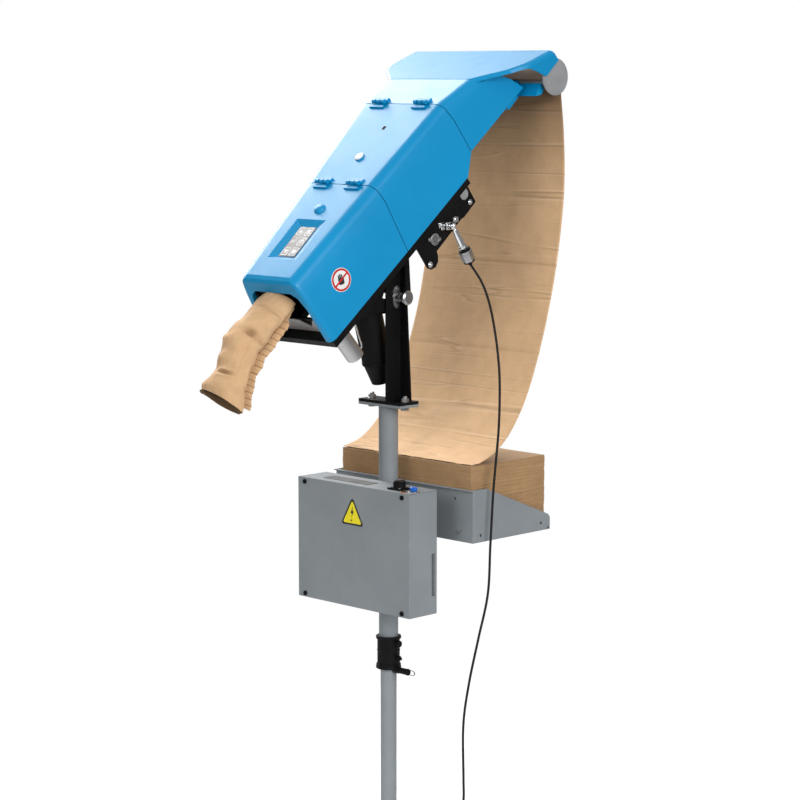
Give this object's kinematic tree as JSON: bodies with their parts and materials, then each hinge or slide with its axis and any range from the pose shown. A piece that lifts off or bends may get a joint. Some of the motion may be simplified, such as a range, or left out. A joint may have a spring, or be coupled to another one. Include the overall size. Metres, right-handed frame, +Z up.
{
  "type": "void-fill paper converter",
  "caption": "Stand-mounted converter that draws fan-folded kraft paper over a rear hood and turns it into crumpled void-fill, with tilting head, control box, paper tray and foot switch.",
  "frame": {"origin": "on the floor under the pole's axis, at the underside of the base's middle pad", "axes": "+Z up along the pole, -Y towards the outlet, +X towards the side with the foot switch"},
  "size_m": [0.588, 0.8109, 1.8272],
  "materials": {
    "grey_paint": "semi-matt grey powder coat",
    "black_paint": "fine-textured black powder coat",
    "blue_paint": "smooth satin blue paint",
    "steel": "plain steel",
    "chrome": "bright plated",
    "rubber": "matt black rubber",
    "black_plastic": "moulded black plastic",
    "blue_plastic": "glossy blue plastic",
    "grey_plastic": "moulded grey plastic",
    "board": "green circuit board",
    "paper": "unbleached kraft paper",
    "cardboard": "stacked fan-folded kraft paper"
  },
  "bodies": {
    "stand": {"base_frame": "grey_paint", "base_foot_1": "rubber", "base_foot_2": "rubber", "base_foot_3": "rubber", "base_foot_4": "rubber", "base_centre_pad": "rubber", "lower_pole": "grey_paint", "pedal_housing": "black_plastic", "cord_lower": "rubber"},
    "pedal": {"pedal_treadle": "black_plastic"},
    "mast": {"upper_pole": "grey_paint", "pole_collar": "black_plastic", "collar_screw_lower": "black_paint", "collar_screw_upper": "black_paint", "pole_clamps": "grey_paint", "box_tub": "grey_paint", "box_cover": "grey_paint", "box_screw_1": "black_paint", "box_screw_2": "black_paint", "box_screw_3": "black_paint", "box_screw_4": "black_paint", "switch_plate": "black_plastic", "power_supply": "steel", "control_board": "board", "paper_tray": "grey_paint", "paper_pack": "cardboard", "paper_web": "paper", "tilt_post": "black_paint", "plate_bolt_left": "steel", "plate_bolt_right": "steel", "pivot_bolt": "black_paint", "tilt_pin_flange": "steel"},
    "height_lock": {"height_pin": "black_paint"},
    "main_switch": {"switch_knob": "black_plastic"},
    "reset": {"reset_button": "blue_plastic"},
    "tilt_lock": {"tilt_pin": "steel"},
    "head": {"chassis": "black_paint", "tilt_bracket": "black_paint", "side_plate_left": "black_paint", "side_plate_right": "black_paint", "tie_bar_front": "steel", "tie_bar_rear": "steel", "rear_hood": "blue_paint", "paper_guide": "blue_paint", "forming_chute": "steel", "cutter_frame": "black_paint", "cutter_motor": "steel", "wire_bail": "chrome", "drive_motor": "black_paint", "cable_stem": "chrome", "cable_block": "steel", "paper_tube": "paper", "cord_upper": "rubber"},
    "middle_cover": {"mid_cover": "blue_paint"},
    "outlet_cover": {"front_cover": "blue_paint", "keypad": "grey_plastic"},
    "roller": {"infeed_roller": "grey_plastic"},
    "feed_lower": {"feed_wheel_lower": "steel"},
    "feed_upper": {"feed_wheel_upper": "steel"},
    "blade": {"cutter_blade": "steel"}
  },
  "joints": [
    {"name": "mast_slide", "type": "slide", "parent": "stand", "child": "mast", "axis": [0, 0, 1], "range_m": [0, 0.3], "deforming": ["cord_lower"]},
    {"name": "height_pin_pull", "type": "slide", "parent": "mast", "child": "height_lock", "axis": [1, 0, 0], "range_m": [0, 0.01], "stiffness_N_per_m": 600, "springref_m": -0.004},
    {"name": "head_tilt", "type": "hinge", "parent": "mast", "child": "head", "pos_m": [0, -0.005, 1.395], "axis": [1, 0, 0], "range_deg": [-20, 20], "deforming": ["paper_web", "cord_upper"]},
    {"name": "tilt_pin_pull", "type": "slide", "parent": "mast", "child": "tilt_lock", "axis": [1, 0, 0], "range_m": [0, 0.012], "stiffness_N_per_m": 600, "springref_m": -0.004},
    {"name": "middle_cover_hinge", "type": "hinge", "parent": "head", "child": "middle_cover", "pos_m": [0, 0.03227, 1.72237], "axis": [-1, 0, 0], "range_deg": [0, 70]},
    {"name": "outlet_cover_hinge", "type": "hinge", "parent": "middle_cover", "child": "outlet_cover", "pos_m": [0, -0.14385, 1.56379], "axis": [-1, 0, 0], "range_deg": [0, 100]},
    {"name": "infeed_roller_turn", "type": "hinge", "parent": "head", "child": "roller", "pos_m": [0, 0.29401, 1.77302], "axis": [1, 0, 0], "continuous": true},
    {"name": "feed_lower_turn", "type": "hinge", "parent": "head", "child": "feed_lower", "pos_m": [0, -0.12554, 1.42687], "axis": [1, 0, 0], "continuous": true},
    {"name": "feed_upper_turn", "type": "hinge", "parent": "head", "child": "feed_upper", "pos_m": [0, -0.1697, 1.47592], "axis": [1, 0, 0], "continuous": true},
    {"name": "blade_stroke", "type": "slide", "parent": "head", "child": "blade", "axis": [0, -0.6691, 0.7431], "range_m": [0, 0.088]},
    {"name": "main_switch_turn", "type": "hinge", "parent": "mast", "child": "main_switch", "pos_m": [0.104, -0.072, 0.95], "axis": [0, 0, -1], "range_deg": [0, 90]},
    {"name": "reset_press", "type": "slide", "parent": "mast", "child": "reset", "axis": [0, 0, -1], "range_m": [0, 0.0025], "stiffness_N_per_m": 400, "springref_m": -0.002},
    {"name": "pedal_press", "type": "hinge", "parent": "stand", "child": "pedal", "pos_m": [0.2, -0.108, 0.034], "axis": [1, 0, 0], "range_deg": [0, 6], "stiffness_Nm_per_rad": 3, "springref_deg": -11.46}
  ],
  "couplings": [
    {"joint": "feed_upper_turn", "follows": "feed_lower_turn", "ratio": -1}
  ]
}
